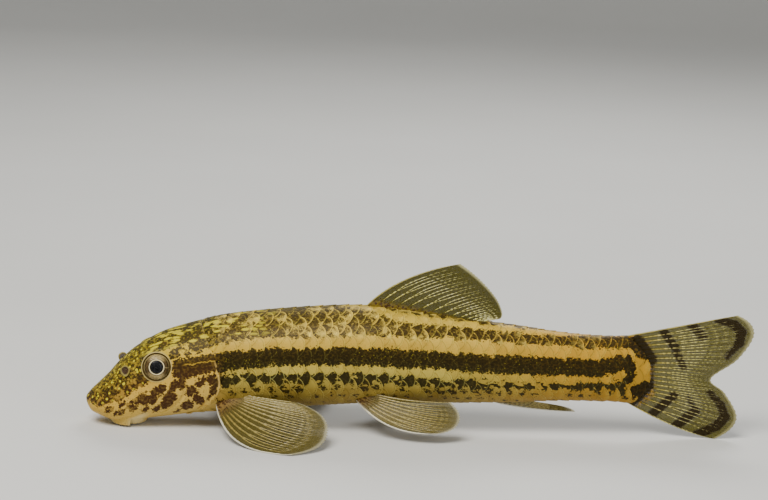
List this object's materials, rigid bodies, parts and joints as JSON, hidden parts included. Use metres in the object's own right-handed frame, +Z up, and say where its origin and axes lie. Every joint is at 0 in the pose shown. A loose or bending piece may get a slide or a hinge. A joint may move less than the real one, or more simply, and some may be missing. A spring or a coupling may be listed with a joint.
{
  "type": "striped stream fish model",
  "caption": "Still, life-size model of a slender striped stream fish, resting on its lower lip, spread pectoral fins and tail.",
  "frame": {"origin": "Middle of the fish's length and width, at the level of the floor it rests on.", "axes": "+X runs along the fish towards its tail, +Y to its right side, +Z up. The head is turned a little to the left, towards -Y."},
  "size_m": [0.09, 0.0312, 0.0231],
  "materials": {
    "skin": "Wet scaled skin: dark brown stripes, net and spots over pale olive yellow.",
    "lips": "Pale cream, smooth and moist.",
    "eyes": "Clear glossy eye with a bronze and silver iris and a black pupil.",
    "clear_fins": "Clear membrane over fine yellowish rays with pale leading edges.",
    "tail_fin": "Clear membrane, yellowish segmented rays and dark brown bars."
  },
  "bodies": {
    "root": {"head": "skin", "gill_cover_left": "skin", "gill_cover_right": "skin", "upper_lip": "lips", "lower_lip": "lips", "eye_left": "eyes", "eye_right": "eyes", "trunk": "skin", "tail_stem": "skin", "dorsal_fin": "clear_fins", "anal_fin": "clear_fins", "caudal_fin": "tail_fin", "pectoral_fin_left": "clear_fins", "pectoral_fin_right": "clear_fins", "pelvic_fin_left": "clear_fins", "pelvic_fin_right": "clear_fins"}
  },
  "joints": []
}
